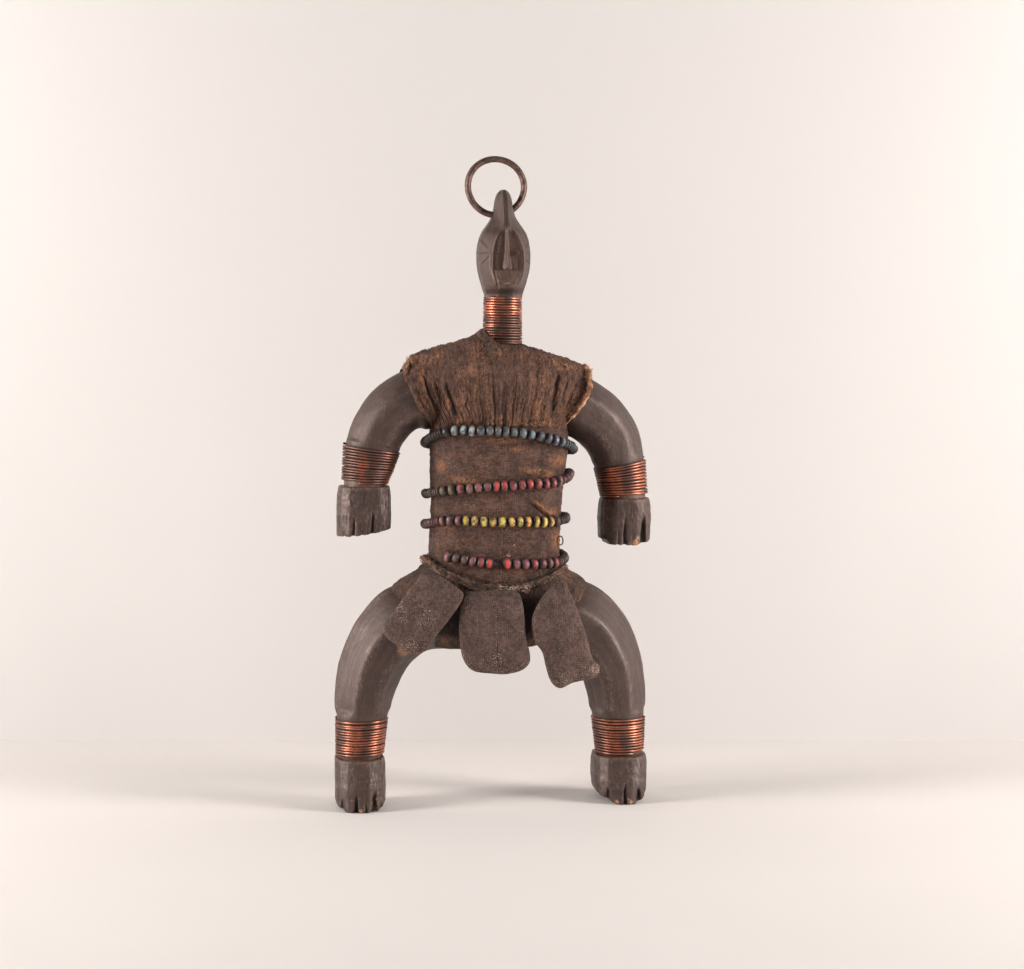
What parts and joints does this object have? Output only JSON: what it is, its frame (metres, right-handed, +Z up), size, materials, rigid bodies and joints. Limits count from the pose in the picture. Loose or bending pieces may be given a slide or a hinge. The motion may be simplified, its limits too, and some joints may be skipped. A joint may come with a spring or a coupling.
{
  "type": "doll figure",
  "caption": "Standing carved wooden doll with bowed arms and legs, a pierced crest with a hanging ring, copper wire coils, cloth dress, bead strings and stuffed pads",
  "frame": {"origin": "middle of the footprint's box, on the ground plane under the soles", "axes": "+Z up along the height, the face looks to -Y, +X to the viewer's right"},
  "size_m": [0.193, 0.0806, 0.3891],
  "materials": {
    "wood": "dark handled patina with dull grey sheen",
    "iron": "brown rust patina",
    "copper": "worn copper wire",
    "brass": "dull brass",
    "bodice_cloth": "stiff encrusted pleated cloth",
    "belly_cloth": "encrusted creased cloth",
    "loin_cloth": "dark encrusted cloth",
    "pad_cloth": "coarse weave with pale specks",
    "fibre": "twisted plant fibre",
    "blue_beads": "dull opaque glass",
    "red_beads": "dull opaque glass",
    "yellow_beads": "dull opaque glass",
    "dark_red_beads": "dull opaque glass"
  },
  "bodies": {
    "root": {"carved_figure": "wood", "suspension_ring": "iron", "neck_coil": "copper", "right_wrist_coil": "copper", "left_wrist_coil": "copper", "right_ankle_coil": "copper", "left_ankle_coil": "copper", "eye_tack": "brass", "side_loop": "brass", "pleated_bodice": "bodice_cloth", "belly_wrap": "belly_cloth", "loincloth": "loin_cloth", "twisted_belt": "fibre", "right_pad": "pad_cloth", "centre_pad": "pad_cloth", "left_pad": "pad_cloth", "bead_strand_1": "blue_beads", "bead_strand_2": "red_beads", "bead_strand_3": "yellow_beads", "bead_strand_4": "dark_red_beads"}
  },
  "joints": []
}
